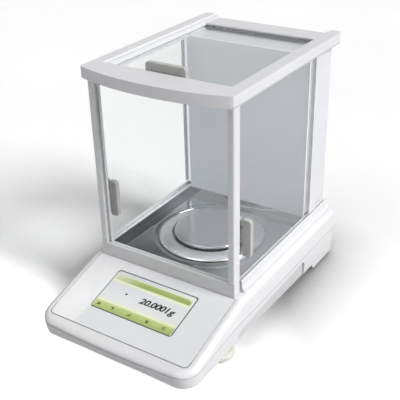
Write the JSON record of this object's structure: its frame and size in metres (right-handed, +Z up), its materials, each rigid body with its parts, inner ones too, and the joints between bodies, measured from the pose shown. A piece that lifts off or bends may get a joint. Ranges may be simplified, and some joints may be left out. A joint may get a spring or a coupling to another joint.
{
  "type": "analytical balance",
  "caption": "Laboratory analytical balance with a glass draft shield, sliding side and top doors, a round pan and a sloped touch-screen console.",
  "frame": {"origin": "on the bench plane, at the centre of the bounding box", "axes": "+Z up, -Y towards the operator (console side), +X to the operator's right"},
  "size_m": [0.202, 0.3486, 0.303],
  "materials": {
    "housing_white": "fine satin moulded ABS",
    "tray_white": "fine satin moulded ABS",
    "label_film": "light grey printed film",
    "frame_white": "white satin powder coat",
    "clear_glass": "clear float glass, polished edges",
    "screen_glass": "glossy touch screen, lit",
    "back_grey": "blue-grey satin",
    "floor_steel": "brushed stainless sheet",
    "pan_steel": "polished stainless",
    "handle_grey": "mid grey moulded plastic",
    "cast_aluminium": "machined casting",
    "spring_bronze": "rolled spring strip",
    "coil_copper": "enamelled copper winding",
    "magnet_iron": "ground iron",
    "circuit_board": "solder mask",
    "black_plastic": "black moulded plastic",
    "wheel_plastic": "off-white moulded plastic",
    "foot_rubber": "black rubber",
    "brass_insert": "turned brass",
    "screw_zinc": "zinc plated",
    "ribbon_grey": "flat cable jacket"
  },
  "bodies": {
    "housing": {"upper_cover": "housing_white", "lower_tray": "tray_white", "console_label": "label_film", "touch_panel": "screen_glass", "lcd_module": "black_plastic", "display_board": "circuit_board", "main_board": "circuit_board", "power_board": "circuit_board", "ribbon_cable": "ribbon_grey", "front_sill": "frame_white", "left_front_post": "frame_white", "right_front_post": "frame_white", "left_lower_rail": "frame_white", "right_lower_rail": "frame_white", "roof_frame": "frame_white", "rear_top_cap": "frame_white", "front_glass": "clear_glass", "back_panel": "back_grey", "rear_column": "housing_white", "rear_cover": "housing_white", "rear_cover_screw_1": "screw_zinc", "rear_cover_screw_2": "screw_zinc", "chamber_floor_plate": "floor_steel", "cell_base": "cast_aluminium", "magnet_pot": "magnet_iron", "position_sensor": "black_plastic", "serial_port": "black_plastic", "power_jack": "black_plastic", "left_foot_nut": "brass_insert", "right_foot_nut": "brass_insert", "left_rear_foot": "foot_rubber", "right_rear_foot": "foot_rubber", "tray_screw_1": "screw_zinc", "tray_screw_2": "screw_zinc", "tray_screw_3": "screw_zinc", "tray_screw_4": "screw_zinc"},
    "left_door": {"left_door_glass": "clear_glass", "left_door_handle": "handle_grey", "left_door_trim": "frame_white"},
    "right_door": {"right_door_glass": "clear_glass", "right_door_handle": "handle_grey", "right_door_trim": "frame_white"},
    "top_door": {"top_door_glass": "clear_glass", "top_door_handle": "handle_grey"},
    "hanger": {"hanger": "cast_aluminium", "pan_support": "cast_aluminium"},
    "pan": {"weighing_pan": "pan_steel"},
    "ring": {"draft_ring": "floor_steel"},
    "upper_guide": {"upper_guide": "spring_bronze"},
    "lower_guide": {"lower_guide": "spring_bronze"},
    "lever": {"lever_beam": "cast_aluminium", "force_coil": "coil_copper"},
    "left_foot": {"left_foot_pad": "foot_rubber"},
    "right_foot": {"right_foot_pad": "foot_rubber"},
    "left_wheel": {"left_levelling_wheel": "wheel_plastic"},
    "right_wheel": {"right_levelling_wheel": "wheel_plastic"}
  },
  "joints": [
    {"name": "left_door_slide", "type": "slide", "parent": "housing", "child": "left_door", "axis": [0, 1, 0], "range_m": [0, 0.15]},
    {"name": "right_door_slide", "type": "slide", "parent": "housing", "child": "right_door", "axis": [0, 1, 0], "range_m": [0, 0.15]},
    {"name": "top_door_slide", "type": "slide", "parent": "housing", "child": "top_door", "axis": [0, 1, 0], "range_m": [0, 0.15]},
    {"name": "hanger_travel", "type": "slide", "parent": "housing", "child": "hanger", "axis": [0, 0, 1], "range_m": [-0.0005, 0.0005]},
    {"name": "upper_guide_flex", "type": "hinge", "parent": "housing", "child": "upper_guide", "pos_m": [0, 0.10785, 0.0532], "axis": [1, 0, 0], "range_deg": [-0.45, 0.45]},
    {"name": "lower_guide_flex", "type": "hinge", "parent": "housing", "child": "lower_guide", "pos_m": [0, 0.10785, 0.026], "axis": [1, 0, 0], "range_deg": [-0.45, 0.45]},
    {"name": "lever_pivot", "type": "hinge", "parent": "housing", "child": "lever", "pos_m": [0, 0.05825, 0.037], "axis": [1, 0, 0], "range_deg": [-1.15, 1.15]},
    {"name": "pan_lift_off", "type": "slide", "parent": "hanger", "child": "pan", "axis": [0, 0, 1], "range_m": [0, 0.06]},
    {"name": "ring_lift_off", "type": "slide", "parent": "housing", "child": "ring", "axis": [0, 0, 1], "range_m": [0, 0.06]},
    {"name": "left_foot_height", "type": "slide", "parent": "housing", "child": "left_foot", "axis": [0, 0, 1], "range_m": [-0.008, 0]},
    {"name": "left_wheel_turn", "type": "hinge", "parent": "left_foot", "child": "left_wheel", "pos_m": [-0.0825, -0.08875, 0.0042], "axis": [0, 0, 1], "range_deg": [-2304, 0]},
    {"name": "right_foot_height", "type": "slide", "parent": "housing", "child": "right_foot", "axis": [0, 0, 1], "range_m": [-0.008, 0]},
    {"name": "right_wheel_turn", "type": "hinge", "parent": "right_foot", "child": "right_wheel", "pos_m": [0.0825, -0.08875, 0.0042], "axis": [0, 0, 1], "range_deg": [-2304, 0]}
  ],
  "couplings": [
    {"joint": "upper_guide_flex", "follows": "hanger_travel", "rad_per_m": -14.62},
    {"joint": "lower_guide_flex", "follows": "hanger_travel", "rad_per_m": -14.62},
    {"joint": "lever_pivot", "follows": "hanger_travel", "rad_per_m": -38.462},
    {"joint": "left_foot_height", "follows": "left_wheel_turn", "m_per_rad": 0.00019894},
    {"joint": "right_foot_height", "follows": "right_wheel_turn", "m_per_rad": 0.00019894}
  ]
}
